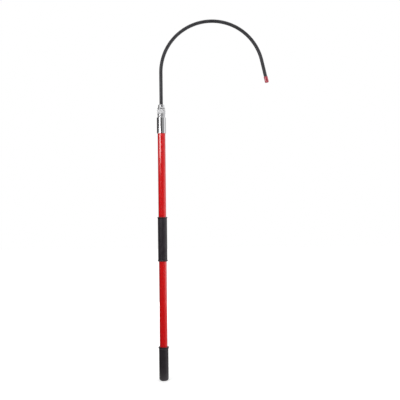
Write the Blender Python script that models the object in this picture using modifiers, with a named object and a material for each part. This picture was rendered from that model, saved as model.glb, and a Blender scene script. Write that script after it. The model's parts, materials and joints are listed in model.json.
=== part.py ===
"""Rescue hook: an insulated pole with two grips, a screwed metal coupling and a wide sleeved hook.

Metres, +Z up. The origin is the centre of the butt's flat face and the pole runs along +Z.
The hook bends in the XZ plane and opens towards +X. The coupling is a ferrule fixed on the pole,
a stud under the hook's socket that screws into it, and a fluted ring on the stud that locks it.
"""

import math

import bmesh
import bpy
from mathutils import Matrix, Vector

# Fits
CLEARANCE = 0.0003

# Pole: a glass-fibre tube filled with foam and closed by a plug at each end
POLE_RADIUS = 0.016
POLE_WALL = 0.003
POLE_LENGTH = 1.061
PLUG_FLANGE = 0.003
PLUG_LEAD = 0.001
BUTT_PLUG_DEPTH = 0.020
TOP_PLUG_SHORTFALL = 0.005

# Rubber grips
END_GRIP_LENGTH = 0.1385
END_GRIP_FLOOR = 0.006
END_GRIP_WALL = 0.003
END_GRIP_FILLET = 0.008
END_LIP_HEIGHT = 0.009
END_LIP_RISE = 0.0022
MID_GRIP_BOTTOM = 0.4915
MID_GRIP_LENGTH = 0.182
MID_GRIP_WALL = 0.0026
MID_LIP_HEIGHT = 0.006
MID_LIP_RISE = 0.0019
LIP_SLOPE = 0.004
LIP_FILLET = 0.0006

# Ferrule: a skirt over the pole, a solid head with the thread, and a narrower neck
FERRULE_WALL = 0.00245
FERRULE_OVERLAP = 0.052
FERRULE_HEAD = 0.0103
NECK_RADIUS = 0.0155
NECK_HEIGHT = 0.014
SHOULDER_FILLET = 0.0022
FERRULE_CHAMFER = 0.0006

# Cross pins that hold the ferrule on the pole
CROSS_PIN_RADIUS = 0.0025
CROSS_PIN_EDGE = 0.015
PIN_CHAMFER = 0.0004

# Lock ring: it jams on the neck, and can turn up until it meets the socket
THREAD_PITCH = 0.0025
RING_TURN_UP = 0.5
RING_RADIUS = 0.017
RING_HEIGHT = 0.0195
RING_CHAMFER = 0.0015
RING_FLUTES = 30
FLUTE_RADIUS = 0.0012
FLUTE_DEPTH = 0.0007

# Socket and stud: one turned piece that carries the hook's rod
SOCKET_HEIGHT = 0.0174
SOCKET_TOP_RADIUS = 0.0120
SOCKET_WAIST_RADIUS = 0.0130
SOCKET_WAIST_HEIGHT = 0.0065
SOCKET_BASE_RADIUS = 0.0158
SOCKET_RIM = 0.0022
SOCKET_FILLET = 0.0012
SLEEVE_SEAT = 0.008
STUD_RADIUS = 0.010
STUD_CHAMFER = 0.001
STUD_END_GAP = 0.0015
STUD_FLOOR = 0.005
ROD_PIN_RADIUS = 0.002
ROD_PIN_HEIGHT = 0.010

# Hook: a steel rod in an insulating sleeve, bent to a wide bow with a short straight tail
ROD_RADIUS = 0.005
SLEEVE_WALL = 0.0017
STEM_LENGTH = 0.1324
HOOK_RADIUS = 0.2110
HOOK_SWEEP = math.radians(167)
TAIL_LENGTH = 0.0907

# Cap pushed over the hook's end
CAP_WALL = 0.0008
CAP_COVER = 0.0205
CAP_END = 0.004
CAP_ROUND = 0.0035

# Facets
TURN_STEPS = 36
FLUTED_TURN_STEPS = 60
PIN_SIDES = 24
ROD_BEVEL_RESOLUTION = 2
SLEEVE_BEVEL_RESOLUTION = 6
BOW_STEPS = 48
FILLET_CHORD = 0.0012
FLUTE_SIDES = 12
MERGE_DISTANCE = 0.00001
SHARP_ANGLE = math.radians(35)

# Radii that follow from the fits
tube_bore = POLE_RADIUS - POLE_WALL
plug_radius = tube_bore - CLEARANCE
sliding_bore = POLE_RADIUS + CLEARANCE
ferrule_radius = sliding_bore + FERRULE_WALL
thread_bore = STUD_RADIUS + CLEARANCE
rod_bore = ROD_RADIUS + CLEARANCE
sleeve_radius = rod_bore + SLEEVE_WALL
sleeve_bore = sleeve_radius + CLEARANCE

# Heights that follow from the stack, from the butt up
butt_plug_bottom = END_GRIP_FLOOR + CLEARANCE
tube_bottom = butt_plug_bottom + PLUG_FLANGE + CLEARANCE
tube_top = tube_bottom + POLE_LENGTH
top_plug_top = tube_top + CLEARANCE + PLUG_FLANGE
ferrule_bottom = tube_top - FERRULE_OVERLAP
cup_ceiling = top_plug_top + CLEARANCE
shoulder = cup_ceiling + FERRULE_HEAD
neck_top = shoulder + NECK_HEIGHT
ring_bottom = neck_top + CLEARANCE
ring_top = ring_bottom + RING_HEIGHT
socket_base = ring_top + THREAD_PITCH * RING_TURN_UP
top_plug_depth = FERRULE_OVERLAP - TOP_PLUG_SHORTFALL
cross_pin_heights = {
    "ferrule_pin_lower": ferrule_bottom + CROSS_PIN_EDGE,
    "ferrule_pin_upper": tube_top - CROSS_PIN_EDGE,
}

# Heights above the socket's base, in the hook's own frame
stud_bottom = cup_ceiling + STUD_END_GAP - socket_base
rod_bottom = stud_bottom + STUD_FLOOR + CLEARANCE
rod_pin_level = rod_bottom + ROD_PIN_HEIGHT
sleeve_bottom = SOCKET_HEIGHT - SLEEVE_SEAT + CLEARANCE
bow_start = SOCKET_HEIGHT + STEM_LENGTH


def clear_scene():
    for obj in list(bpy.data.objects):
        bpy.data.objects.remove(obj, do_unlink=True)


def new_collection(name):
    collection = bpy.data.collections.new(name)
    bpy.context.scene.collection.children.link(collection)
    return collection


def new_material(name, colour, metallic, roughness):
    material = bpy.data.materials.new(name)
    material.use_nodes = True
    shader = material.node_tree.nodes["Principled BSDF"]
    shader.inputs["Base Color"].default_value = (*colour, 1.0)
    shader.inputs["Metallic"].default_value = metallic
    shader.inputs["Roughness"].default_value = roughness
    return material


def add_object(name, mesh, material, parent, location=(0.0, 0.0, 0.0)):
    obj = bpy.data.objects.new(name, mesh)
    parts.objects.link(obj)
    mesh.materials.append(material)
    obj.parent = parent
    obj.location = location
    return obj


def add_frame(name, height):
    """An empty on the pole's axis, which carries the pieces that move together."""
    frame = bpy.data.objects.new(name, None)
    frame.location = (0.0, 0.0, height)
    parts.objects.link(frame)
    return frame


def rounded(corners, closed):
    """The profile's points, with an arc in each corner (radius, height, fillet) that has a fillet."""
    points = []
    for index, (radius, height, fillet) in enumerate(corners):
        corner = Vector((radius, height))
        is_end = not closed and index in (0, len(corners) - 1)
        if is_end or fillet == 0:
            points.append(corner)
            continue
        before = (Vector(corners[index - 1][:2]) - corner).normalized()
        after = (Vector(corners[(index + 1) % len(corners)][:2]) - corner).normalized()
        half_angle = before.angle(after) / 2
        centre = corner + (before + after).normalized() * fillet / math.sin(half_angle)
        start = corner + before * fillet / math.tan(half_angle) - centre
        sweep = math.pi - 2 * half_angle
        turning = math.copysign(1.0, after.cross(before))
        steps = math.ceil(fillet * sweep / FILLET_CHORD)
        for step in range(steps + 1):
            points.append(centre + Matrix.Rotation(turning * sweep * step / steps, 2) @ start)
    return points


def turned(name, corners, material, parent, height=0.0, closed=True, steps=TURN_STEPS):
    """A profile turned about the Z axis. It runs down its outer side, so that the faces point out."""
    points = rounded(corners, closed)
    edges = [(i, i + 1) for i in range(len(points) - 1)]
    if closed:
        edges.append((len(points) - 1, 0))
    mesh = bpy.data.meshes.new(name)
    mesh.from_pydata([(p.x, 0.0, p.y) for p in points], edges, [])
    obj = add_object(name, mesh, material, parent, (0.0, 0.0, height))
    screw = obj.modifiers.new("turn", "SCREW")
    screw.axis = "Z"
    screw.angle = math.tau
    screw.steps = steps
    screw.render_steps = steps
    screw.use_merge_vertices = True
    screw.merge_threshold = MERGE_DISTANCE
    return obj


def cylinder_mesh(name, radius, length, sides, matrices):
    """A mesh of one capped cylinder for each matrix, which places it from the origin and the Z axis."""
    shape = bmesh.new()
    for matrix in matrices:
        bmesh.ops.create_cone(
            shape,
            cap_ends=True,
            segments=sides,
            radius1=radius,
            radius2=radius,
            depth=length,
            matrix=matrix,
        )
    mesh = bpy.data.meshes.new(name)
    shape.to_mesh(mesh)
    shape.free()
    return mesh


def across(height):
    """The matrix that lays a cylinder along X at this height."""
    return Matrix.Translation((0.0, 0.0, height)) @ Matrix.Rotation(math.pi / 2, 4, "Y")


def add_cutter(name, mesh, parent=None):
    cutter = bpy.data.objects.new(name, mesh)
    cutter.parent = parent
    cutter.hide_render = True
    cutter.display_type = "WIRE"
    cutters.objects.link(cutter)
    return cutter


def cut(obj, cutter):
    boolean = obj.modifiers.new("cut_" + cutter.name, "BOOLEAN")
    boolean.operation = "DIFFERENCE"
    boolean.solver = "EXACT"
    boolean.object = cutter


def bake(obj):
    """Apply the modifiers, and shade the shape smooth apart from its sharp edges."""
    bpy.context.view_layer.update()
    graph = bpy.context.evaluated_depsgraph_get()
    mesh = bpy.data.meshes.new_from_object(obj.evaluated_get(graph))
    obj.modifiers.clear()
    obj.data = mesh
    mesh.name = obj.name
    mesh.shade_smooth()
    mesh.set_sharp_from_angle(angle=SHARP_ANGLE)


def bow_path(bottom):
    """The rod's centre line in the hook's frame: up the stem, round the bow and down the tail."""
    centre = Vector((HOOK_RADIUS, 0.0, bow_start))
    points = [Vector((0.0, 0.0, bottom))]
    for step in range(BOW_STEPS + 1):
        angle = HOOK_SWEEP * step / BOW_STEPS
        arm = Vector((-math.cos(angle), 0.0, math.sin(angle)))
        points.append(centre + HOOK_RADIUS * arm)
    points.append(points[-1] + TAIL_LENGTH * tail_direction())
    return points


def tail_direction():
    return Vector((math.sin(HOOK_SWEEP), 0.0, math.cos(HOOK_SWEEP)))


def tube_mesh(name, points, radius, resolution, caps):
    """The mesh of a round tube or bar along the points, made as a bevelled curve."""
    curve = bpy.data.curves.new(name, "CURVE")
    curve.dimensions = "3D"
    curve.bevel_depth = radius
    curve.bevel_resolution = resolution
    curve.use_fill_caps = caps
    spline = curve.splines.new("POLY")
    spline.points.add(len(points) - 1)
    for slot, point in zip(spline.points, points):
        slot.co = (*point, 1.0)
    guide = bpy.data.objects.new(name + "_guide", curve)
    parts.objects.link(guide)
    bpy.context.view_layer.update()
    graph = bpy.context.evaluated_depsgraph_get()
    mesh = bpy.data.meshes.new_from_object(guide.evaluated_get(graph))
    bpy.data.objects.remove(guide, do_unlink=True)
    shape = bmesh.new()
    shape.from_mesh(mesh)
    bmesh.ops.remove_doubles(shape, verts=shape.verts, dist=MERGE_DISTANCE)
    shape.to_mesh(mesh)
    shape.free()
    return mesh


def make_pole_tube():
    corners = [
        (tube_bore, POLE_LENGTH, 0),
        (POLE_RADIUS, POLE_LENGTH, 0),
        (POLE_RADIUS, 0, 0),
        (tube_bore, 0, 0),
    ]
    return turned("pole_tube", corners, red_resin, pole, tube_bottom)


def make_foam_core():
    bottom = tube_bottom + BUTT_PLUG_DEPTH + CLEARANCE
    top = tube_top - top_plug_depth - CLEARANCE
    middle = Matrix.Translation((0.0, 0.0, (bottom + top) / 2))
    mesh = cylinder_mesh("foam_core", plug_radius, top - bottom, TURN_STEPS, [middle])
    return add_object("foam_core", mesh, foam, pole)


def make_butt_plug():
    """A flanged plug: its flange closes the tube's end and its body fills the bore above."""
    body_top = PLUG_FLANGE + CLEARANCE + BUTT_PLUG_DEPTH
    corners = [
        (0, body_top, 0),
        (plug_radius - PLUG_LEAD, body_top, 0),
        (plug_radius, body_top - PLUG_LEAD, 0),
        (plug_radius, PLUG_FLANGE, 0),
        (POLE_RADIUS, PLUG_FLANGE, 0),
        (POLE_RADIUS, 0, 0),
        (0, 0, 0),
    ]
    return turned("butt_plug", corners, nylon, pole, butt_plug_bottom, closed=False)


def make_top_plug():
    """A longer plug, which backs the tube's wall where the cross pins go through."""
    flange_bottom = -PLUG_FLANGE
    body_bottom = flange_bottom - CLEARANCE - top_plug_depth
    corners = [
        (0, 0, 0),
        (POLE_RADIUS, 0, 0),
        (POLE_RADIUS, flange_bottom, 0),
        (plug_radius, flange_bottom, 0),
        (plug_radius, body_bottom + PLUG_LEAD, 0),
        (plug_radius - PLUG_LEAD, body_bottom, 0),
        (0, body_bottom, 0),
    ]
    return turned("top_plug", corners, nylon, pole, top_plug_top, closed=False)


def make_end_grip():
    """A moulded cap grip: closed and rounded at the butt, with a lip round its mouth."""
    body = sliding_bore + END_GRIP_WALL
    lip = body + END_LIP_RISE
    lip_bottom = END_GRIP_LENGTH - END_LIP_HEIGHT
    corners = [
        (0, END_GRIP_FLOOR, 0),
        (sliding_bore, END_GRIP_FLOOR, 0),
        (sliding_bore, END_GRIP_LENGTH, LIP_FILLET),
        (lip, END_GRIP_LENGTH, 2 * LIP_FILLET),
        (lip, lip_bottom + LIP_SLOPE, LIP_FILLET),
        (body, lip_bottom, LIP_FILLET),
        (body, 0, END_GRIP_FILLET),
        (0, 0, 0),
    ]
    return turned("end_grip", corners, rubber, pole, closed=False)


def make_mid_grip():
    """A sleeve grip with a lip at each end."""
    body = sliding_bore + MID_GRIP_WALL
    lip = body + MID_LIP_RISE
    high = MID_GRIP_LENGTH
    corners = [
        (sliding_bore, high, LIP_FILLET),
        (lip, high, 2 * LIP_FILLET),
        (lip, high - MID_LIP_HEIGHT + LIP_SLOPE, LIP_FILLET),
        (body, high - MID_LIP_HEIGHT, LIP_FILLET),
        (body, MID_LIP_HEIGHT, LIP_FILLET),
        (lip, MID_LIP_HEIGHT - LIP_SLOPE, LIP_FILLET),
        (lip, 0, 2 * LIP_FILLET),
        (sliding_bore, 0, LIP_FILLET),
    ]
    return turned("mid_grip", corners, rubber, pole, MID_GRIP_BOTTOM)


def make_ferrule():
    """One turned steel piece: the skirt over the tube, the threaded head and the neck above it."""
    ceiling = cup_ceiling - ferrule_bottom
    shoulder_level = shoulder - ferrule_bottom
    top = neck_top - ferrule_bottom
    corners = [
        (thread_bore, top, FERRULE_CHAMFER),
        (NECK_RADIUS, top, FERRULE_CHAMFER),
        (NECK_RADIUS, shoulder_level, FERRULE_CHAMFER),
        (ferrule_radius, shoulder_level, SHOULDER_FILLET),
        (ferrule_radius, 0, FERRULE_CHAMFER),
        (sliding_bore, 0, FERRULE_CHAMFER),
        (sliding_bore, ceiling, 0),
        (thread_bore, ceiling, 0),
    ]
    return turned("ferrule", corners, steel, pole, ferrule_bottom)


def make_cross_pin(name, height):
    """A pin through the ferrule, the tube and the plug, with its ends just below the ferrule's skin."""
    length = 2 * (ferrule_radius - CLEARANCE)
    mesh = cylinder_mesh(name, CROSS_PIN_RADIUS, length, PIN_SIDES, [across(0.0)])
    return chamfered_pin(name, mesh, pole, height)


def make_rod_pin():
    """A pin through the stud and the rod, short enough to turn inside the ferrule's thread."""
    length = 2 * (STUD_RADIUS - CLEARANCE)
    mesh = cylinder_mesh("rod_pin", ROD_PIN_RADIUS, length, PIN_SIDES, [across(0.0)])
    return chamfered_pin("rod_pin", mesh, hook, rod_pin_level)


def chamfered_pin(name, mesh, parent, height):
    pin = add_object(name, mesh, pin_steel, parent, (0.0, 0.0, height))
    bevel = pin.modifiers.new("chamfer", "BEVEL")
    bevel.width = PIN_CHAMFER
    bevel.segments = 1
    bevel.limit_method = "ANGLE"
    bevel.angle_limit = SHARP_ANGLE
    return pin


def make_lock_ring():
    """A ring with straight flutes round it for the fingers, chamfered at both rims."""
    corners = [
        (thread_bore, RING_HEIGHT, FERRULE_CHAMFER),
        (RING_RADIUS - RING_CHAMFER, RING_HEIGHT, 0),
        (RING_RADIUS, RING_HEIGHT - RING_CHAMFER, 0),
        (RING_RADIUS, RING_CHAMFER, 0),
        (RING_RADIUS - RING_CHAMFER, 0, 0),
        (thread_bore, 0, FERRULE_CHAMFER),
    ]
    ring = turned("lock_ring", corners, satin_steel, lock, steps=FLUTED_TURN_STEPS)
    out = Matrix.Translation((RING_RADIUS + FLUTE_RADIUS - FLUTE_DEPTH, 0.0, RING_HEIGHT / 2))
    flat_inwards = Matrix.Rotation(math.pi / FLUTE_SIDES, 4, "Z")
    places = []
    for index in range(RING_FLUTES):
        turn = Matrix.Rotation(math.tau * index / RING_FLUTES, 4, "Z")
        places.append(turn @ out @ flat_inwards)
    mesh = cylinder_mesh("flutes", FLUTE_RADIUS, 2 * RING_HEIGHT, FLUTE_SIDES, places)
    cut(ring, add_cutter("flutes", mesh, lock))
    return ring


def make_hook_socket():
    """The hook's foot: a waisted boss with the sleeve's seat, and the stud below it."""
    corners = [
        (0, stud_bottom + STUD_FLOOR, 0),
        (rod_bore, stud_bottom + STUD_FLOOR, 0),
        (rod_bore, SOCKET_HEIGHT - SLEEVE_SEAT, 0),
        (sleeve_bore, SOCKET_HEIGHT - SLEEVE_SEAT, 0),
        (sleeve_bore, SOCKET_HEIGHT, FERRULE_CHAMFER),
        (SOCKET_TOP_RADIUS, SOCKET_HEIGHT, SOCKET_FILLET),
        (SOCKET_WAIST_RADIUS, SOCKET_WAIST_HEIGHT, 2 * SOCKET_FILLET),
        (SOCKET_BASE_RADIUS, SOCKET_RIM, SOCKET_FILLET),
        (SOCKET_BASE_RADIUS, 0, FERRULE_CHAMFER),
        (STUD_RADIUS, 0, 0),
        (STUD_RADIUS, stud_bottom + STUD_CHAMFER, 0),
        (STUD_RADIUS - STUD_CHAMFER, stud_bottom, 0),
        (0, stud_bottom, 0),
    ]
    return turned("hook_socket", corners, steel, hook, closed=False)


def make_hook_rod():
    mesh = tube_mesh("hook_rod", bow_path(rod_bottom), ROD_RADIUS, ROD_BEVEL_RESOLUTION, caps=True)
    return add_object("hook_rod", mesh, pin_steel, hook)


def make_hook_sleeve():
    """An open tube along the rod, thickened inwards to the rod's bore."""
    path = bow_path(sleeve_bottom)
    mesh = tube_mesh("hook_sleeve", path, sleeve_radius, SLEEVE_BEVEL_RESOLUTION, caps=False)
    sleeve = add_object("hook_sleeve", mesh, black_sleeve, hook)
    wall = sleeve.modifiers.new("wall", "SOLIDIFY")
    wall.thickness = SLEEVE_WALL
    wall.offset = -1.0
    return sleeve


def make_tip_cap():
    """A cup over the end of the sleeve, with a rounded nose."""
    radius = sleeve_bore + CAP_WALL
    nose = CLEARANCE + CAP_END
    corners = [
        (0, nose, 0),
        (radius, nose, CAP_ROUND),
        (radius, -CAP_COVER, 0),
        (sleeve_bore, -CAP_COVER, 0),
        (sleeve_bore, CLEARANCE, 0),
        (0, CLEARANCE, 0),
    ]
    cap = turned("tip_cap", corners, red_vinyl, hook, closed=False)
    cap.location = bow_path(sleeve_bottom)[-1]
    cap.rotation_euler = tail_direction().to_track_quat("Z", "Y").to_euler()
    return cap


def make_pole():
    """The tube with what fills, closes and covers it, and the ferrule pinned on its top."""
    pinned = [make_pole_tube(), make_top_plug(), make_ferrule()]
    hole = CROSS_PIN_RADIUS + CLEARANCE
    places = [across(height) for height in cross_pin_heights.values()]
    mesh = cylinder_mesh("cross_holes", hole, 4 * ferrule_radius, PIN_SIDES, places)
    cross_holes = add_cutter("cross_holes", mesh)
    for obj in pinned:
        cut(obj, cross_holes)
    pins = [make_cross_pin(name, height) for name, height in cross_pin_heights.items()]
    return pinned + pins + [make_foam_core(), make_butt_plug(), make_end_grip(), make_mid_grip()]


def make_hook():
    """The socket and the rod, pinned together, with the rod's sleeve and cap."""
    pinned = [make_hook_socket(), make_hook_rod()]
    hole = ROD_PIN_RADIUS + CLEARANCE
    place = across(rod_pin_level)
    mesh = cylinder_mesh("rod_pin_hole", hole, 4 * STUD_RADIUS, PIN_SIDES, [place])
    rod_pin_hole = add_cutter("rod_pin_hole", mesh, hook)
    for obj in pinned:
        cut(obj, rod_pin_hole)
    return pinned + [make_rod_pin(), make_hook_sleeve(), make_tip_cap()]


clear_scene()
parts = new_collection("rescue_hook")
cutters = new_collection("cutters")

red_resin = new_material("red_resin", (0.60, 0.012, 0.016), 0.0, 0.22)
foam = new_material("foam", (0.80, 0.72, 0.48), 0.0, 0.9)
nylon = new_material("nylon", (0.62, 0.60, 0.55), 0.0, 0.5)
rubber = new_material("rubber", (0.030, 0.028, 0.032), 0.0, 0.6)
steel = new_material("chromed_steel", (0.78, 0.78, 0.80), 1.0, 0.08)
satin_steel = new_material("satin_steel", (0.66, 0.66, 0.67), 1.0, 0.35)
pin_steel = new_material("pin_steel", (0.50, 0.50, 0.52), 1.0, 0.3)
black_sleeve = new_material("black_sleeve", (0.045, 0.046, 0.048), 0.0, 0.4)
red_vinyl = new_material("red_vinyl", (0.58, 0.05, 0.07), 0.0, 0.35)

pole = add_frame("pole_axis", 0.0)
lock = add_frame("lock_ring_axis", ring_bottom)
hook = add_frame("hook_axis", socket_base)

for piece in make_pole() + [make_lock_ring()] + make_hook():
    bake(piece)
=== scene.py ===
"""Looks of the rescue hook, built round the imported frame.

Metres, +Z along the pole, the hook in the XZ plane. Each outer piece is modelled again with finer
meshes at the size and place that the frame gives, and every piece has its own procedural finish.
"""

import json
import math

import bmesh
import bpy
import numpy as np
from mathutils import Matrix, Vector

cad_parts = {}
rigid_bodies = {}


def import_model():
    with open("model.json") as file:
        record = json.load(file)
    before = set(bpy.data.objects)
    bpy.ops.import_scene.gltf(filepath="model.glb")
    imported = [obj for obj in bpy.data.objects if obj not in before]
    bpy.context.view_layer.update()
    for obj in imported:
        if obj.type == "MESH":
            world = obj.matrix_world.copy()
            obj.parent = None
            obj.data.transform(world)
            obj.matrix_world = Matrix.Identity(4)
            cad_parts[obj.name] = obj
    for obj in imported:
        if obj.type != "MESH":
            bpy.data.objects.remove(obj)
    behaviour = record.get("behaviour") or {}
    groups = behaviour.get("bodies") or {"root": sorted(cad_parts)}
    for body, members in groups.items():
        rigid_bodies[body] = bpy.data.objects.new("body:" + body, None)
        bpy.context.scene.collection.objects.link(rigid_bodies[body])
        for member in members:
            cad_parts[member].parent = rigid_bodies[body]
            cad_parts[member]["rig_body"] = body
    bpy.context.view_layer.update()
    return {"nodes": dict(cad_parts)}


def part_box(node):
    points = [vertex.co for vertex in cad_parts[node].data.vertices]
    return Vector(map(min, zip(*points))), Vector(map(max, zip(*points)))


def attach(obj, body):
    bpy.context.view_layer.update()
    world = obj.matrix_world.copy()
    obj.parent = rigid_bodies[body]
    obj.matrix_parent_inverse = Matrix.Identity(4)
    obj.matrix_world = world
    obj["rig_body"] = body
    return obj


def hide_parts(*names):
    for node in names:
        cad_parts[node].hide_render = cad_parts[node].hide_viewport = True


# Camera, fitted to the photograph's frame of 400 by 400 pixels
IMAGE_PIXELS = 400
FOCAL_PIXELS = 630
SENSOR_WIDTH = 36.0
CAMERA_PLACE = (0.1561, -2.6013, 0.7425)
CAMERA_ROLL = math.radians(-0.60)

# Surround and floor, which look white and give little light
WHITE = (1.0, 1.0, 1.0, 1.0)
AMBIENT = 0.46
FLOOR_SIZE = 14.0
FLOOR_DROP = 0.0006
FLOOR_COLOUR = (0.86, 0.86, 0.86)
FLOOR_ROUGHNESS = 0.9
FLOOR_GLOW_NEAR = 0.385
FLOOR_GLOW_FAR = 0.75
FLOOR_GLOW_REACH = 2.2

# Soft boxes: bearing, distance, height, width, tall, radiance, reflected, as make_lamp takes them
LAMPS = {
    "key_low": (-42.0, 1.5, 1.10, 1.224, 0.17, 8.4, True),
    "key_high": (-40.6, 1.5, 1.735, 0.97, 1.10, 2.0, True),
    "key_near": (-25, 0.62, 0.80, 0.16, 0.30, 3.6, False),
    "fill": (35, 1.8, 0.66, 1.0, 1.4, 2.35, False),
    "side": (98, 1.9, 0.55, 0.6, 1.2, 7.0, False),
    "back": (195, 2.0, 0.85, 1.2, 1.6, 2.4, False),
}

# Round room that only reflections show, and the height of the top of each of its walls
ROOM_RADIUS = 1.9
ROOM_STEPS = 72
ROOM_FLOOR_INNER = 0.10
ROOM_FLOOR_SHARE = 0.42
ROOM_TOPS = {"low": 0.95, "middle": 1.13, "high": 3.2}

# Brightness of each wall at bearings round the pole
ROOM_BANDS = {
    "low": {
        -168: 1.0,
        -160: 0.06,
        20: 0.05,
        56: 0.16,
        78: 1.45,
        104: 1.55,
        130: 0.42,
        160: 0.35,
        168: 1.0,
    },
    "middle": {
        -168: 1.0,
        -160: 0.10,
        20: 0.08,
        56: 0.18,
        80: 1.08,
        104: 1.08,
        130: 0.50,
        160: 0.45,
        168: 1.0,
    },
    "high": {
        -168: 1.0,
        -160: 0.05,
        8: 0.085,
        26: 0.42,
        62: 0.30,
        80: 1.08,
        104: 1.08,
        126: 0.60,
        160: 0.55,
        168: 1.0,
    },
}

# Patterns in the finishes: what part of a noise's values counts, and how scratches come of it
NOISE_RANGE = (0.3, 0.7)
CLOUD_RANGE = (0.35, 0.65)
NOISE_MIDDLE = 0.5
SCRATCH_WIDTH = 0.012
SCRATCH_PATCH_SCALE = 0.23
SCRATCH_PATCH_EDGE = 0.08

# Fine shape of the turned pieces
ROUND_STEPS = 96
HOLE_STEPS = 48
CAP_STEPS = 48
FINE_CHORD = 0.0004
FEWEST_ARC_STEPS = 3
SHARP_ANGLE = math.radians(38)
SAME_RADIUS = 0.000005

# Pole and its grips
TUBE_WALL = 0.003
TUBE_CHAMFER = 0.0005
GRIP_GAP = 0.0003
END_GRIP_FLOOR = 0.006
END_GRIP_FILLET = 0.008
END_LIP_HEIGHT = 0.009
END_LIP_RISE = 0.0022
MID_LIP_HEIGHT = 0.006
MID_LIP_RISE = 0.0019
LIP_SLOPE = 0.004
LIP_FILLET = 0.0006
MOULD_LINE_HEIGHT = 0.00012
MOULD_LINE_WIDTH = 0.0009
GATE_RADIUS = 0.0028
GATE_DEPTH = 0.0005

# Coupling
FERRULE_HEAD = 0.0103
NECK_RADIUS = 0.0155
NECK_HEIGHT = 0.014
SHOULDER_FILLET = 0.0022
EDGE_CHAMFER = 0.0006
BLAST_EDGE = 0.0008
NECK_ROUGHNESS = 0.44
SOCKET_ROUGHNESS = 0.27
CUP_GAP = 0.0003
PIN_GAP = 0.0003
THREAD_BORE = 0.0103
RING_CHAMFER = 0.0015
RING_FLUTES = 30
FLUTE_RADIUS = 0.0012
FLUTE_DEPTH = 0.0007
FLUTE_SAMPLES = 14
SOCKET_HEIGHT = 0.0174
SOCKET_TOP_RADIUS = 0.0120
SOCKET_WAIST_RADIUS = 0.0130
SOCKET_WAIST_HEIGHT = 0.0065
SOCKET_BASE_RADIUS = 0.0158
SOCKET_RIM = 0.0022
SOCKET_FILLET = 0.0012
SLEEVE_SEAT = 0.008
STUD_RADIUS = 0.00995
STUD_CHAMFER = 0.001
STUD_FLOOR = 0.005
ROD_BORE = 0.0053
THREAD_PITCH = 0.0025
THREAD_DEPTH = 0.0015
THREAD_ROWS = 10
THREAD_RUN_OUT = 0.0012
THREAD_HALF_GROOVE = 0.44
THREAD_ROOT_FLAT = 1.1

# Hook
SLEEVE_RADIUS = 0.0070
SLEEVE_BORE = 0.0053
SLEEVE_GAP = 0.0003
STEM_LENGTH = 0.1324
HOOK_RADIUS = 0.2110
HOOK_SWEEP = math.radians(167)
TAIL_LENGTH = 0.0907
BOW_STEPS = 150
SLEEVE_STEPS = 40
CAP_WALL = 0.0008
CAP_COVER = 0.0205
CAP_END = 0.004
CAP_ROUND = 0.0035
CAP_RIM_RISE = 0.0003
CAP_RIM_HEIGHT = 0.0016


def clear_scene():
    for obj in list(bpy.data.objects):
        bpy.data.objects.remove(obj, do_unlink=True)


clear_scene()
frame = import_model()


def drawn_along(share):
    """A stretch that draws a pattern out along the pole or the hook."""
    return (1.0, 1.0, share)


def drawn_round(share):
    """A stretch that draws a pattern out round the pole."""
    return (share, share, 1.0)


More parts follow.
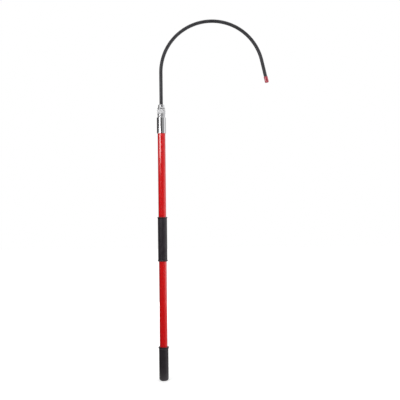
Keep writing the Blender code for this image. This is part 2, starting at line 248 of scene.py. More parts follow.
class Surface:
    """A Principled material, with short ways to add what varies over it.

    The plain colour and roughness show only where no nodes feed those sockets.
    """

    def __init__(self, name, colour, metallic=0.0, roughness=0.5, **fixed):
        self.material = bpy.data.materials.new(name)
        self.material.use_nodes = True
        self.tree = self.material.node_tree
        self.shader = self.tree.nodes["Principled BSDF"]
        self.relief = None
        self.set("Base Color", (*colour, 1.0))
        self.set("Metallic", metallic)
        self.set("Roughness", roughness)
        for socket, value in fixed.items():
            self.set(socket.replace("_", " ").title().replace("Ior", "IOR"), value)

    def set(self, socket, value):
        self.feed(self.shader.inputs[socket], value)

    def feed(self, socket, value):
        if isinstance(value, bpy.types.NodeSocket):
            self.tree.links.new(value, socket)
        else:
            socket.default_value = value

    def add(self, kind, inputs, **settings):
        node = self.tree.nodes.new("ShaderNode" + kind)
        for name, value in settings.items():
            setattr(node, name, value)
        for name, value in inputs.items():
            self.feed(node.inputs[name], value)
        return node

    def place(self, stretch=(1.0, 1.0, 1.0), run=False):
        """Coordinates in metres: the frame's own, or with run those along a bent tube."""
        if run:
            source = self.add("Attribute", {}, attribute_name="run").outputs["Vector"]
        else:
            source = self.add("TexCoord", {}).outputs["Object"]
        return self.add("Mapping", {"Vector": source, "Scale": stretch}).outputs["Vector"]

    def noise(self, where, scale, detail=3.0, roughness=0.55):
        inputs = {"Vector": where, "Scale": scale, "Detail": detail, "Roughness": roughness}
        return self.add("TexNoise", inputs).outputs["Fac"]

    def cells(self, where, scale):
        return self.add("TexVoronoi", {"Vector": where, "Scale": scale}).outputs["Distance"]

    def span(self, value, low, high, out_low=0.0, out_high=1.0):
        """Value from low to high becomes out_low to out_high, and stays within them."""
        inputs = {"Value": value, 1: low, 2: high, 3: out_low, 4: out_high}
        return self.add("MapRange", inputs).outputs["Result"]

    def vary(self, noise, low=0.0, high=1.0):
        """The noise's usual range becomes low to high."""
        return self.span(noise, *NOISE_RANGE, low, high)

    def times(self, first, second):
        return self.add("Math", {0: first, 1: second}, operation="MULTIPLY").outputs["Value"]

    def plus(self, first, second):
        return self.add("Math", {0: first, 1: second}, operation="ADD").outputs["Value"]

    def tint(self, factor, first, second):
        """The first colour where factor is 0, and the second where it is 1."""
        mix = self.add("MixRGB", {"Fac": factor})
        for socket, colour in (("Color1", first), ("Color2", second)):
            value = colour if isinstance(colour, bpy.types.NodeSocket) else (*colour, 1.0)
            self.feed(mix.inputs[socket], value)
        return mix.outputs["Color"]

    def raise_by(self, height, depth, strength):
        """Adds relief of this depth in metres to the relief that is there."""
        inputs = {"Height": height, "Distance": depth, "Strength": strength}
        if self.relief is not None:
            inputs["Normal"] = self.relief
        self.relief = self.add("Bump", inputs).outputs["Normal"]
        self.set("Normal", self.relief)

    def axis_radius(self):
        """How far a point lies from the pole's axis."""
        source = self.add("TexCoord", {}).outputs["Object"]
        flat = self.add("VectorMath", {0: source, 1: (1.0, 1.0, 0.0)}, operation="MULTIPLY")
        length = self.add("VectorMath", {0: flat.outputs["Vector"]}, operation="LENGTH")
        return length.outputs["Value"]

    def height(self):
        """How high a point lies above the butt's flat face."""
        source = self.add("TexCoord", {}).outputs["Object"]
        return self.add("SeparateXYZ", {"Vector": source}).outputs["Z"]

    def scratches(self, where, scale, share):
        """1 on thin curved streaks, where a noise is near its middle and a second one is high."""
        near = {0: self.noise(where, scale, detail=1.0), 1: NOISE_MIDDLE, 2: SCRATCH_WIDTH}
        thin = self.add("Math", near, operation="COMPARE").outputs["Value"]
        patches = self.noise(where, scale * SCRATCH_PATCH_SCALE, detail=1.0)
        start = 1.0 - share
        return self.times(thin, self.span(patches, start, start + SCRATCH_PATCH_EDGE))


def red_glass_fibre():
    """Pigmented resin over lengthwise fibres, with a gloss coat."""
    red = Surface("red_glass_fibre", (0.56, 0.004, 0.005), roughness=0.20,
                  specular_ior_level=0.3, coat_weight=1.0, coat_roughness=0.14)
    deep = (0.51, 0.0015, 0.002)
    bright = (0.59, 0.0025, 0.004)
    clouded = (0.51, 0.0025, 0.004)
    scuffed = (0.62, 0.10, 0.10)
    fibres = red.noise(red.place(drawn_along(0.018)), 2600.0, detail=4.0)
    cloud = red.noise(red.place(), 22.0)
    scuffs = red.scratches(red.place(drawn_along(0.35)), 160.0, share=0.34)
    body = red.tint(red.vary(fibres), deep, bright)
    shade = red.tint(red.span(cloud, *CLOUD_RANGE, 0.0, 0.35), body, clouded)
    red.set("Base Color", red.tint(red.times(scuffs, 0.14), shade, scuffed))
    rough = red.vary(red.noise(red.place(drawn_along(0.3)), 90.0), 0.17, 0.21)
    red.set("Roughness", red.plus(rough, red.times(scuffs, 0.2)))
    red.raise_by(fibres, depth=0.000002, strength=0.3)
    ripple = red.noise(red.place(drawn_along(0.1)), 160.0, detail=1.0)
    red.raise_by(ripple, depth=0.00001, strength=0.2)
    return red.material


def moulded_rubber():
    """Dense black rubber with the fine pebble of a blasted mould and a little dust."""
    rubber = Surface("moulded_rubber", (0.016, 0.0145, 0.0165), roughness=0.6)
    deep = (0.0142, 0.0100, 0.0142)
    worn = (0.0218, 0.0162, 0.0220)
    dusty = (0.060, 0.054, 0.059)
    pebble = rubber.cells(rubber.place(), 1500.0)
    grain = rubber.noise(rubber.place(), 900.0, detail=5.0, roughness=0.65)
    cloud = rubber.noise(rubber.place(), 45.0, detail=4.0)
    base = rubber.tint(rubber.span(cloud, 0.35, 0.68), deep, worn)
    patches = rubber.noise(rubber.place(), 12.0)
    dust = rubber.span(rubber.times(grain, patches), 0.28, 0.46, 0.0, 0.22)
    rubber.set("Base Color", rubber.tint(dust, base, dusty))
    rubber.set("Roughness", rubber.vary(grain, 0.40, 0.54))
    rubber.raise_by(pebble, depth=0.00012, strength=0.5)
    rubber.raise_by(grain, depth=0.00005, strength=0.4)
    return rubber.material


def bright_chrome():
    """Polished plating over turned steel: faint tool lines, haze from handling, hair scratches.

    The neck and the socket's rim are blasted, and the socket above them is polished less than the
    ferrule.
    """
    chrome = Surface("bright_chrome", (0.70, 0.70, 0.715), metallic=1.0, roughness=0.09)
    clear = (0.72, 0.72, 0.735)
    hazy = (0.64, 0.64, 0.65)
    scratched = (0.50, 0.50, 0.51)
    haze = chrome.noise(chrome.place(), 130.0, detail=4.0)
    tool_lines = chrome.noise(chrome.place(drawn_round(0.02)), 5200.0, detail=2.0)
    scratches = chrome.scratches(chrome.place(drawn_along(0.5)), 320.0, share=0.5)
    tone = chrome.tint(chrome.span(haze, 0.35, 0.7), clear, hazy)
    chrome.set("Base Color", chrome.tint(chrome.times(scratches, 0.2), tone, scratched))
    hazed = chrome.span(haze, 0.3, 0.75, 0.06, 0.09)
    rough = chrome.plus(hazed, chrome.times(scratches, 0.04))
    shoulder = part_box("ferrule")[1].z - NECK_HEIGHT
    rim_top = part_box("hook_socket")[1].z - SOCKET_HEIGHT + SOCKET_RIM
    height = chrome.height()
    blast = chrome.span(height, shoulder - BLAST_EDGE, shoulder + BLAST_EDGE, 0.0, NECK_ROUGHNESS)
    polish = SOCKET_ROUGHNESS - NECK_ROUGHNESS
    blast = chrome.plus(blast, chrome.span(height, rim_top - BLAST_EDGE, rim_top, 0.0, polish))
    chrome.set("Roughness", chrome.plus(rough, blast))
    chrome.raise_by(tool_lines, depth=0.000001, strength=0.3)
    return chrome.material


def satin_plate():
    """Dull plating on the lock ring, rougher at the bottom of the flutes, with painted shade there.
    """
    satin = Surface("satin_plate", (0.72, 0.72, 0.73), metallic=0.62, roughness=0.46)
    light = (0.78, 0.78, 0.79)
    dull = (0.70, 0.70, 0.71)
    valley_shade = (0.45, 0.45, 0.46)
    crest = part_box("lock_ring")[1].x
    low = satin.span(satin.axis_radius(), crest - FLUTE_DEPTH, crest, 1.0, 0.0)
    mottle = satin.noise(satin.place(), 260.0, detail=5.0, roughness=0.6)
    tone = satin.tint(satin.vary(mottle), light, dull)
    # Painted shade: the plating is darkened at the bottom of the flutes, where shade falls.
    satin.set("Base Color", satin.tint(satin.times(low, 0.22), tone, valley_shade))
    satin.set("Roughness", satin.plus(satin.vary(mottle, 0.40, 0.52), satin.times(low, 0.10)))
    tool_lines = satin.noise(satin.place(drawn_round(0.05)), 3600.0, detail=2.0)
    satin.raise_by(tool_lines, depth=0.000012, strength=0.4)
    satin.raise_by(mottle, depth=0.00001, strength=0.3)
    return satin.material


def black_sleeving():
    """Extruded black sleeving: die lines along it, a soft gloss and pale rub marks."""
    sleeve = Surface("black_sleeving", (0.030, 0.030, 0.032), roughness=0.28)
    deep = (0.0255, 0.0250, 0.0295)
    worn = (0.0375, 0.0370, 0.0420)
    rubbed = (0.12, 0.12, 0.12)
    die_lines = sleeve.noise(sleeve.place(drawn_along(0.012), run=True), 2600.0)
    cloud = sleeve.noise(sleeve.place(run=True), 70.0, detail=4.0)
    rubs = sleeve.scratches(sleeve.place(drawn_along(0.25), run=True), 260.0, share=0.45)
    base = sleeve.tint(sleeve.span(cloud, *CLOUD_RANGE), deep, worn)
    sleeve.set("Base Color", sleeve.tint(sleeve.times(rubs, 0.35), base, rubbed))
    sleeve.set("Roughness", sleeve.vary(cloud, 0.34, 0.48))
    sleeve.raise_by(die_lines, depth=0.000008, strength=0.35)
    ripple = sleeve.noise(sleeve.place(drawn_along(0.4), run=True), 240.0)
    sleeve.raise_by(ripple, depth=0.00003, strength=0.25)
    return sleeve.material


def dipped_vinyl():
    """Soft red vinyl with a cloudy pigment and a wet gloss."""
    vinyl = Surface("dipped_vinyl", (0.36, 0.05, 0.075), roughness=0.32,
                    specular_ior_level=0.45, coat_weight=0.7, coat_roughness=0.12)
    deep = (0.33, 0.028, 0.048)
    bright = (0.46, 0.050, 0.080)
    cloud = vinyl.noise(vinyl.place(), 160.0, detail=4.0)
    vinyl.set("Base Color", vinyl.tint(vinyl.span(cloud, *CLOUD_RANGE), deep, bright))
    vinyl.set("Roughness", vinyl.vary(cloud, 0.22, 0.36))
    vinyl.raise_by(vinyl.noise(vinyl.place(), 420.0, detail=2.0), depth=0.00006, strength=0.3)
    return vinyl.material


def bright_pin():
    """Ground steel of the pins and the rod, with fine lines along X and a little tarnish."""
    steel = Surface("bright_pin", (0.50, 0.50, 0.52), metallic=1.0, roughness=0.28)
    clean = (0.56, 0.56, 0.58)
    tarnished = (0.40, 0.39, 0.39)
    tarnish = steel.noise(steel.place(), 420.0, detail=4.0)
    steel.set("Base Color", steel.tint(steel.vary(tarnish), clean, tarnished))
    steel.set("Roughness", steel.vary(tarnish, 0.22, 0.36))
    ground = steel.noise(steel.place((0.05, 1.0, 1.0)), 2400.0)
    steel.raise_by(ground, depth=0.000008, strength=0.4)
    return steel.material


def closed_cell_foam():
    """Rigid foam with cut cells, with painted shade in their hollows."""
    foam = Surface("closed_cell_foam", (0.80, 0.72, 0.48), roughness=0.9)
    shaded_hollow = (0.62, 0.53, 0.32)
    wall = (0.84, 0.77, 0.54)
    cells = foam.cells(foam.place(), 1300.0)
    # Painted shade: each cell is darker in its hollow than on its walls.
    foam.set("Base Color", foam.tint(foam.span(cells, 0.1, 0.8), shaded_hollow, wall))
    foam.raise_by(cells, depth=0.0003, strength=0.8)
    return foam.material


def natural_nylon():
    """Turned nylon of the plugs, slightly waxy."""
    nylon = Surface("natural_nylon", (0.62, 0.60, 0.55), roughness=0.48)
    pale = (0.66, 0.64, 0.58)
    aged = (0.56, 0.54, 0.48)
    cloud = nylon.noise(nylon.place(), 160.0)
    nylon.set("Base Color", nylon.tint(nylon.vary(cloud), pale, aged))
    nylon.set("Roughness", nylon.vary(cloud, 0.42, 0.55))
    tool_lines = nylon.noise(nylon.place(drawn_round(0.05)), 2600.0)
    nylon.raise_by(tool_lines, depth=0.00003, strength=0.4)
    return nylon.material


def add_object(name, mesh, material):
    obj = bpy.data.objects.new(name, mesh)
    bpy.context.scene.collection.objects.link(obj)
    mesh.materials.append(material)
    mesh.shade_smooth()
    mesh.set_sharp_from_angle(angle=SHARP_ANGLE)
    return obj


def rounded(corners):
    """The profile's points, with an arc in each corner (radius, height, fillet) that has a fillet."""
    points = []
    for index, (radius, height, fillet) in enumerate(corners):
        corner = Vector((radius, height))
        if fillet == 0:
            points.append(corner)
            continue
        before = (Vector(corners[index - 1][:2]) - corner).normalized()
        after = (Vector(corners[(index + 1) % len(corners)][:2]) - corner).normalized()
        half_angle = before.angle(after) / 2
        centre = corner + (before + after).normalized() * fillet / math.sin(half_angle)
        start = corner + before * fillet / math.tan(half_angle) - centre
        sweep = math.pi - 2 * half_angle
        turning = math.copysign(1.0, after.cross(before))
        steps = max(FEWEST_ARC_STEPS, math.ceil(fillet * sweep / FINE_CHORD))
        for step in range(steps + 1):
            points.append(centre + Matrix.Rotation(turning * sweep * step / steps, 2) @ start)
    return [(point.x, point.y) for point in points]


def lathe(name, rows, steps=ROUND_STEPS, closed=False):
    """A mesh of rings about Z, one for each row (radius, height). Rows run down the outer side.

    A row's radius may be a function of the angle. A first or last row of radius 0 is a point on
    the axis, and a closed profile joins the last row to the first.
    """
    points, rings, faces = [], [], []
    for radius, height in rows:
        if radius == 0:
            rings.append([len(points)] * steps)
            points.append((0.0, 0.0, height))
            continue
        first = len(points)
        for step in range(steps):
            angle = math.tau * step / steps
            r = radius(angle) if callable(radius) else radius
            points.append((r * math.cos(angle), r * math.sin(angle), height))
        rings.append(list(range(first, first + steps)))
    pairs = list(zip(rings, rings[1:]))
    if closed:
        pairs.append((rings[-1], rings[0]))
    for upper, lower in pairs:
        for step in range(steps):
            after = (step + 1) % steps
            corners = [upper[step], lower[step], lower[after], upper[after]]
            faces.append([c for i, c in enumerate(corners) if c != corners[i - 1]])
    mesh = bpy.data.meshes.new(name)
    mesh.from_pydata(points, [], faces)
    return mesh


def sweep(name, path, tangents, radii, steps):
    """A pipe round a path in the XZ plane: rings at the outer radius and back along the bore.

    Each corner keeps its place on a straight pipe in the attribute run, for finishes that follow it.
    """
    outer, inner = radii
    lengths = [0.0]
    for here, there in zip(path, path[1:]):
        lengths.append(lengths[-1] + (there - here).length)
    stations = [(index, outer) for index in range(len(path))]
    stations += [(index, inner) for index in reversed(range(len(path)))]
    across = Vector((0.0, 1.0, 0.0))
    points, straight, faces = [], [], []
    for index, radius in stations:
        side = tangents[index].cross(across)
        for step in range(steps):
            angle = math.tau * step / steps
            x, y = radius * math.cos(angle), radius * math.sin(angle)
            points.append(path[index] + side * x + across * y)
            straight.append((x, y, lengths[index]))
    for ring in range(len(stations)):
        first = ring * steps
        second = (ring + 1) % len(stations) * steps
        for step in range(steps):
            after = (step + 1) % steps
            faces.append((first + step, first + after, second + after, second + step))
    mesh = bpy.data.meshes.new(name)
    mesh.from_pydata(points, [], faces)
    run = mesh.attributes.new("run", "FLOAT_VECTOR", "POINT")
    run.data.foreach_set("vector", np.array(straight, np.float32).ravel())
    face_outwards(mesh)
    return mesh


def face_outwards(mesh):
    shape = bmesh.new()
    shape.from_mesh(mesh)
    bmesh.ops.recalc_face_normals(shape, faces=shape.faces)
    shape.to_mesh(mesh)
    shape.free()


def cut_across(obj, pin):
    """Bores the clearance hole of a pin that lies along X."""
    low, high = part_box(pin)
    radius = (high.z - low.z) / 2 + PIN_GAP
    lay = Matrix.Translation((low + high) / 2) @ Matrix.Rotation(math.pi / 2, 4, "Y")
    shape = bmesh.new()
    bmesh.ops.create_cone(shape, cap_ends=True, segments=HOLE_STEPS, radius1=radius,
                          radius2=radius, depth=obj.dimensions.x * 2, matrix=lay)
    cutter = bpy.data.objects.new("hole_" + pin, bpy.data.meshes.new("hole"))
    shape.to_mesh(cutter.data)
    shape.free()
    bpy.context.scene.collection.objects.link(cutter)
    hole = obj.modifiers.new("hole", "BOOLEAN")
    hole.object = cutter
    bpy.context.view_layer.update()
    graph = bpy.context.evaluated_depsgraph_get()
    mesh = bpy.data.meshes.new_from_object(obj.evaluated_get(graph))
    obj.modifiers.clear()
    obj.data = mesh
    mesh.set_sharp_from_angle(angle=SHARP_ANGLE)
    bpy.data.objects.remove(cutter, do_unlink=True)


def stands_for(obj, node):
    """The piece takes the node's place on its body.

    Weighted normals keep the long faces true, so only the fillets between them bend reflections.
    """
    obj.modifiers.new("weighted_normals", "WEIGHTED_NORMAL").keep_sharp = True
    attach(obj, frame["nodes"][node]["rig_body"])
    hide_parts(node)


def make_pole_skin():
    low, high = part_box("pole_tube")
    bore = high.x - TUBE_WALL
    rows = rounded([
        (bore, high.z, 0),
        (high.x, high.z, TUBE_CHAMFER),
        (high.x, low.z, TUBE_CHAMFER),
        (bore, low.z, 0),
    ])
    tube = add_object("pole_skin", lathe("pole_skin", rows, closed=True), red_finish)
    for pin in ("ferrule_pin_lower", "ferrule_pin_upper"):
        cut_across(tube, pin)
    stands_for(tube, "pole_tube")


def with_mould_line(radius):
    """The radius with a thin ridge on both sides, where the mould's halves met."""
    def ridged(angle):
        across = radius * abs(math.sin(angle))
        rise = max(0.0, 1.0 - across / (MOULD_LINE_WIDTH / 2))
        return radius + MOULD_LINE_HEIGHT * rise
    return ridged


def mould_lined(rows, body):
    """The rows, with the mould line on those that have the body's radius."""
    return [(with_mould_line(r) if abs(r - body) < SAME_RADIUS else r, z) for r, z in rows]


def make_end_grip_rubber():
    low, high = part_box("end_grip")
    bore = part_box("pole_tube")[1].x + GRIP_GAP
    body = high.x - END_LIP_RISE
    lip_bottom = high.z - END_LIP_HEIGHT
    rows = rounded([
        (0, END_GRIP_FLOOR, 0),
        (bore, END_GRIP_FLOOR, 0),
        (bore, high.z, LIP_FILLET),
        (high.x, high.z, 2 * LIP_FILLET),
        (high.x, lip_bottom + LIP_SLOPE, LIP_FILLET),
        (body, lip_bottom, LIP_FILLET),
        (body, low.z, END_GRIP_FILLET),
        (GATE_RADIUS, low.z, GATE_DEPTH / 2),
        (GATE_RADIUS, low.z + GATE_DEPTH, 0),
        (0, low.z + GATE_DEPTH, 0),
    ])
    mesh = lathe("end_grip_rubber", mould_lined(rows, body))
    grip = add_object("end_grip_rubber", mesh, rubber_finish)
    stands_for(grip, "end_grip")


def make_mid_grip_rubber():
    low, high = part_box("mid_grip")
    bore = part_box("pole_tube")[1].x + GRIP_GAP
    body = high.x - MID_LIP_RISE
    rows = rounded([
        (bore, high.z, LIP_FILLET),
        (high.x, high.z, 2 * LIP_FILLET),
        (high.x, high.z - MID_LIP_HEIGHT + LIP_SLOPE, LIP_FILLET),
        (body, high.z - MID_LIP_HEIGHT, LIP_FILLET),
        (body, low.z + MID_LIP_HEIGHT, LIP_FILLET),
        (high.x, low.z + MID_LIP_HEIGHT - LIP_SLOPE, LIP_FILLET),
        (high.x, low.z, 2 * LIP_FILLET),
        (bore, low.z, LIP_FILLET),
    ])
    mesh = lathe("mid_grip_rubber", mould_lined(rows, body), closed=True)
    grip = add_object("mid_grip_rubber", mesh, rubber_finish)
    stands_for(grip, "mid_grip")


def make_ferrule_shell():
    low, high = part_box("ferrule")
    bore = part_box("pole_tube")[1].x + CUP_GAP
    shoulder = high.z - NECK_HEIGHT
    ceiling = shoulder - FERRULE_HEAD
    rows = rounded([
        (THREAD_BORE, high.z, EDGE_CHAMFER),
        (NECK_RADIUS, high.z, EDGE_CHAMFER),
        (NECK_RADIUS, shoulder, EDGE_CHAMFER),
        (high.x, shoulder, SHOULDER_FILLET),
        (high.x, low.z, EDGE_CHAMFER),
        (bore, low.z, EDGE_CHAMFER),
        (bore, ceiling, 0),
        (THREAD_BORE, ceiling, 0),
    ])
    ferrule = add_object("ferrule_shell", lathe("ferrule_shell", rows, closed=True), chrome_finish)
    for pin in ("ferrule_pin_lower", "ferrule_pin_upper"):
        cut_across(ferrule, pin)
    stands_for(ferrule, "ferrule")


def flute_radius(limit, crest):
    """The ring's outer radius at an angle: limit, less a round groove at each flute."""
    centre = crest + FLUTE_RADIUS - FLUTE_DEPTH
    pitch = math.tau / RING_FLUTES

    def radius(angle):
        off = (angle + pitch / 2) % pitch - pitch / 2
        aside = centre * math.sin(off)
        if abs(aside) >= FLUTE_RADIUS:
            return limit
        return min(limit, centre * math.cos(off) - math.sqrt(FLUTE_RADIUS**2 - aside**2))
    return radius


def make_lock_ring_fluted():
    low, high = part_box("lock_ring")
    crest = high.x
    profile = rounded([
        (THREAD_BORE, high.z, EDGE_CHAMFER),
        (crest - RING_CHAMFER, high.z, EDGE_CHAMFER / 2),
        (crest, high.z - RING_CHAMFER, EDGE_CHAMFER / 2),
        (crest, low.z + RING_CHAMFER, EDGE_CHAMFER / 2),
        (crest - RING_CHAMFER, low.z, EDGE_CHAMFER / 2),
        (THREAD_BORE, low.z, EDGE_CHAMFER),
    ])
    valley = crest - FLUTE_DEPTH
    rows = [(flute_radius(r, crest) if r > valley else r, z) for r, z in profile]
    mesh = lathe("lock_ring_fluted", rows, RING_FLUTES * FLUTE_SAMPLES, closed=True)
    ring = add_object("lock_ring_fluted", mesh, satin_finish)
    stands_for(ring, "lock_ring")


def thread_radius(height, bottom, top):
    """The stud's radius at a height: a V thread that runs out at both ends."""
    def radius(angle):
        phase = ((height - bottom) / THREAD_PITCH - angle / math.tau) % 1.0
        groove = max(0.0, 1.0 - abs(phase - 0.5) / THREAD_HALF_GROOVE)
        fade = min(1.0, (top - height) / THREAD_RUN_OUT, (height - bottom) / THREAD_RUN_OUT)
        return STUD_RADIUS - THREAD_DEPTH * min(1.0, groove * THREAD_ROOT_FLAT) * max(0.0, fade)
    return radius


def make_hook_socket_turned():
    """The waisted boss and the threaded stud under it, one turned piece."""
    low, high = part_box("hook_socket")
    base = high.z - SOCKET_HEIGHT
    seat = high.z - SLEEVE_SEAT
    sleeve_seat_radius = SLEEVE_RADIUS + SLEEVE_GAP
    floor = low.z + STUD_FLOOR
    boss = rounded([
        (0, floor, 0),
        (ROD_BORE, floor, 0),
        (ROD_BORE, seat, 0),
        (sleeve_seat_radius, seat, 0),
        (sleeve_seat_radius, high.z, EDGE_CHAMFER),
        (SOCKET_TOP_RADIUS, high.z, SOCKET_FILLET),
        (SOCKET_WAIST_RADIUS, base + SOCKET_WAIST_HEIGHT, 2 * SOCKET_FILLET),
        (SOCKET_BASE_RADIUS, base + SOCKET_RIM, SOCKET_FILLET),
        (SOCKET_BASE_RADIUS, base, EDGE_CHAMFER),
        (STUD_RADIUS, base, 0),
    ])
    thread_bottom = low.z + STUD_CHAMFER
    count = round((base - thread_bottom) / THREAD_PITCH * THREAD_ROWS)
    thread = []
    for row in range(1, count + 1):
        height = base + (thread_bottom - base) * row / count
        thread.append((thread_radius(height, thread_bottom, base), height))
    end = [(STUD_RADIUS - STUD_CHAMFER, low.z), (0, low.z)]
    mesh = lathe("hook_socket_turned", boss + thread + end)
    socket = add_object("hook_socket_turned", mesh, chrome_finish)
    cut_across(socket, "rod_pin")
    stands_for(socket, "hook_socket")


def hook_direction(angle):
    """Which way the hook runs after turning through this angle from the pole's axis."""
    return Vector((math.sin(angle), 0.0, math.cos(angle)))


def hook_path():
    """The sleeve's centre line and its directions: up the stem, round the bow and down the tail."""
    socket_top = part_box("hook_socket")[1].z
    bow_centre = Vector((HOOK_RADIUS, 0.0, socket_top + STEM_LENGTH))
    path = [Vector((0.0, 0.0, socket_top - SLEEVE_SEAT + SLEEVE_GAP))]
    tangents = [hook_direction(0.0)]
    for step in range(BOW_STEPS + 1):
        angle = HOOK_SWEEP * step / BOW_STEPS
        arm = Vector((-math.cos(angle), 0.0, math.sin(angle)))
        path.append(bow_centre + HOOK_RADIUS * arm)
        tangents.append(hook_direction(angle))
    path.append(path[-1] + TAIL_LENGTH * tangents[-1])
    tangents.append(tangents[-1])
    return path, tangents


def make_hook_sleeving():
    path, tangents = hook_path()
    mesh = sweep("hook_sleeving", path, tangents, (SLEEVE_RADIUS, SLEEVE_BORE), SLEEVE_STEPS)
    sleeve = add_object("hook_sleeving", mesh, sleeve_finish)
    stands_for(sleeve, "hook_sleeve")


def make_tip_cap_vinyl():
    """The cap over the sleeve's end, with a soft rim at its mouth and a rounded nose."""
    bore = SLEEVE_RADIUS + SLEEVE_GAP
    body = bore + CAP_WALL
    nose = SLEEVE_GAP + CAP_END
    rim_top = -CAP_COVER + CAP_RIM_HEIGHT
    rows = rounded([
        (0, nose, 0),
        (body, nose, CAP_ROUND),
        (body, rim_top + CAP_RIM_HEIGHT, 0),
        (body + CAP_RIM_RISE, rim_top, CAP_RIM_HEIGHT / 4),
        (body + CAP_RIM_RISE, -CAP_COVER, CAP_RIM_HEIGHT / 3),
        (bore, -CAP_COVER, CAP_WALL / 3),
        (bore, SLEEVE_GAP, 0),
        (0, SLEEVE_GAP, 0),
    ])
    mesh = lathe("tip_cap_vinyl", rows, CAP_STEPS)
    path, tangents = hook_path()
    turn = tangents[-1].to_track_quat("Z", "Y").to_matrix().to_4x4()
    mesh.transform(Matrix.Translation(path[-1]) @ turn)
    cap = add_object("tip_cap_vinyl", mesh, vinyl_finish)
    stands_for(cap, "tip_cap")


def finish_kept_nodes():
    """The inner pieces keep their own shape and get a full finish."""
    finishes = {
        "foam_core": foam_finish,
        "butt_plug": nylon_finish,
        "top_plug": nylon_finish,
        "ferrule_pin_lower": pin_finish,
        "ferrule_pin_upper": pin_finish,
        "rod_pin": pin_finish,
        "hook_rod": pin_finish,
    }
    for name, material in finishes.items():
        for slot in frame["nodes"][name].material_slots:
            slot.material = material


def seen_directly(tree):
    """1 for camera, glossy and transmission rays, and 0 for the rest."""
    path = tree.nodes.new("ShaderNodeLightPath")
    total = path.outputs["Is Camera Ray"]
    for name in ("Is Glossy Ray", "Is Transmission Ray"):
        either = tree.nodes.new("ShaderNodeMath")
        either.operation = "MAXIMUM"
        tree.links.new(total, either.inputs[0])
        tree.links.new(path.outputs[name], either.inputs[1])
        total = either.outputs["Value"]
    return total


def make_world():
    world = bpy.data.worlds.new("white_surround")
    bpy.context.scene.world = world
    world.use_nodes = True
    tree = world.node_tree
    background = tree.nodes["Background"]
    background.inputs["Color"].default_value = WHITE
    strength = tree.nodes.new("ShaderNodeMapRange")
    tree.links.new(seen_directly(tree), strength.inputs["Value"])
    strength.inputs["To Min"].default_value = AMBIENT
    strength.inputs["To Max"].default_value = 1.0
    tree.links.new(strength.outputs["Result"], background.inputs["Strength"])


def make_floor():
    """A matt floor that looks white, with a glow of its own that grows with the distance."""
    pale = Surface("pale_floor", FLOOR_COLOUR, roughness=FLOOR_ROUGHNESS,
                   specular_ior_level=0.0, emission_color=WHITE)
    glow = pale.span(pale.axis_radius(), 0.0, FLOOR_GLOW_REACH, FLOOR_GLOW_NEAR, FLOOR_GLOW_FAR)
    pale.set("Emission Strength", pale.times(seen_directly(pale.tree), glow))
    shape = bmesh.new()
    bmesh.ops.create_grid(shape, x_segments=1, y_segments=1, size=FLOOR_SIZE / 2)
    mesh = bpy.data.meshes.new("floor")
    shape.to_mesh(mesh)
    shape.free()
    mesh.materials.append(pale.material)
    floor = bpy.data.objects.new("floor", mesh)
    floor.location = (0.0, 0.0, -FLOOR_DROP)
    bpy.context.scene.collection.objects.link(floor)


def make_room():
    """A round wall and a floor with the brightness that glossy pieces see at each bearing.

    The object's own X axis points at the camera, so the angle there is the bearing. The floor
    repeats the bands of the low wall, dimmed.
    """
    rims = [(ROOM_FLOOR_INNER, 0.0), (ROOM_RADIUS, 0.0)]
    rims += [(ROOM_RADIUS, top) for top in ROOM_TOPS.values()]
    turn = [math.tau * step / ROOM_STEPS for step in range(ROOM_STEPS)]
    shape = bmesh.new()
    rings = [[shape.verts.new((r * math.cos(a), r * math.sin(a), z)) for a in turn] for r, z in rims]
    for index, (lower, upper) in enumerate(zip(rings, rings[1:])):
        for step in range(ROOM_STEPS):
            after = (step + 1) % ROOM_STEPS
            face = shape.faces.new((lower[step], lower[after], upper[after], upper[step]))
            face.material_index = index
    mesh = bpy.data.meshes.new("reflected_room")
    shape.to_mesh(mesh)
    shape.free()
    mesh.materials.append(room_material("room_floor", ROOM_BANDS["low"], ROOM_FLOOR_SHARE))
    for name, bands in ROOM_BANDS.items():
        mesh.materials.append(room_material("room_wall_" + name, bands, 1.0))
    room = bpy.data.objects.new("reflected_room", mesh)
    room.rotation_euler.z = -math.pi / 2
    bpy.context.scene.collection.objects.link(room)
    room.visible_camera = False
    room.visible_diffuse = False
    room.visible_transmission = False
    room.visible_volume_scatter = False
    room.visible_shadow = False


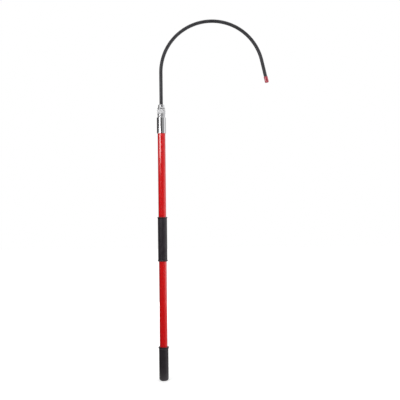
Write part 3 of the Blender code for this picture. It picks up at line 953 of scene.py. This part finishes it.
def room_material(name, bands, share):
    """A glow that follows the bands round the room, times the share."""
    material = bpy.data.materials.new(name)
    material.use_nodes = True
    tree = material.node_tree
    tree.nodes.clear()
    place = tree.nodes.new("ShaderNodeTexCoord")
    angle = tree.nodes.new("ShaderNodeTexGradient")
    angle.gradient_type = "RADIAL"
    tree.links.new(place.outputs["Object"], angle.inputs["Vector"])
    ramp = tree.nodes.new("ShaderNodeValToRGB")
    tree.links.new(angle.outputs["Fac"], ramp.inputs["Fac"])
    stops = ramp.color_ramp.elements
    while len(stops) < len(bands):
        stops.new(0.5)
    for stop, (bearing, brightness) in zip(stops, bands.items()):
        stop.position = bearing / 360 + 0.5
        stop.color = (brightness, brightness, brightness, 1.0)
    light = tree.nodes.new("ShaderNodeEmission")
    tree.links.new(ramp.outputs["Color"], light.inputs["Color"])
    light.inputs["Strength"].default_value = share
    output = tree.nodes.new("ShaderNodeOutputMaterial")
    tree.links.new(light.outputs["Emission"], output.inputs["Surface"])
    return material


def make_lamp(name, bearing, distance, height, width, tall, radiance, reflected):
    """A soft box facing the pole. Its power follows from how bright its face is.

    Bearing 0 is towards the camera and 90 is to the right.
    """
    light = bpy.data.lights.new(name, "AREA")
    light.shape = "RECTANGLE"
    light.size = width
    light.size_y = tall
    light.energy = radiance * math.pi * width * tall
    lamp = bpy.data.objects.new(name, light)
    angle = math.radians(bearing)
    place = Vector((distance * math.sin(angle), -distance * math.cos(angle), height))
    lamp.location = place
    lamp.rotation_euler = Vector((-place.x, -place.y, 0.0)).to_track_quat("-Z", "Y").to_euler()
    lamp.visible_camera = False
    lamp.visible_glossy = reflected
    bpy.context.scene.collection.objects.link(lamp)


def make_camera():
    data = bpy.data.cameras.new("camera")
    data.sensor_width = SENSOR_WIDTH
    data.lens = FOCAL_PIXELS / IMAGE_PIXELS * SENSOR_WIDTH
    camera = bpy.data.objects.new("camera", data)
    level = Matrix.Rotation(math.pi / 2, 4, "X")
    roll = Matrix.Rotation(CAMERA_ROLL, 4, "Z")
    camera.matrix_world = Matrix.Translation(CAMERA_PLACE) @ level @ roll
    bpy.context.scene.collection.objects.link(camera)
    bpy.context.scene.camera = camera


make_camera()
make_world()
make_floor()
make_room()
for name, settings in LAMPS.items():
    make_lamp(name, *settings)

red_finish = red_glass_fibre()
rubber_finish = moulded_rubber()
chrome_finish = bright_chrome()
satin_finish = satin_plate()
sleeve_finish = black_sleeving()
vinyl_finish = dipped_vinyl()
pin_finish = bright_pin()
nylon_finish = natural_nylon()
foam_finish = closed_cell_foam()

make_pole_skin()
make_end_grip_rubber()
make_mid_grip_rubber()
make_ferrule_shell()
make_lock_ring_fluted()
make_hook_socket_turned()
make_hook_sleeving()
make_tip_cap_vinyl()
finish_kept_nodes()

bpy.context.scene.view_settings.view_transform = "Standard"
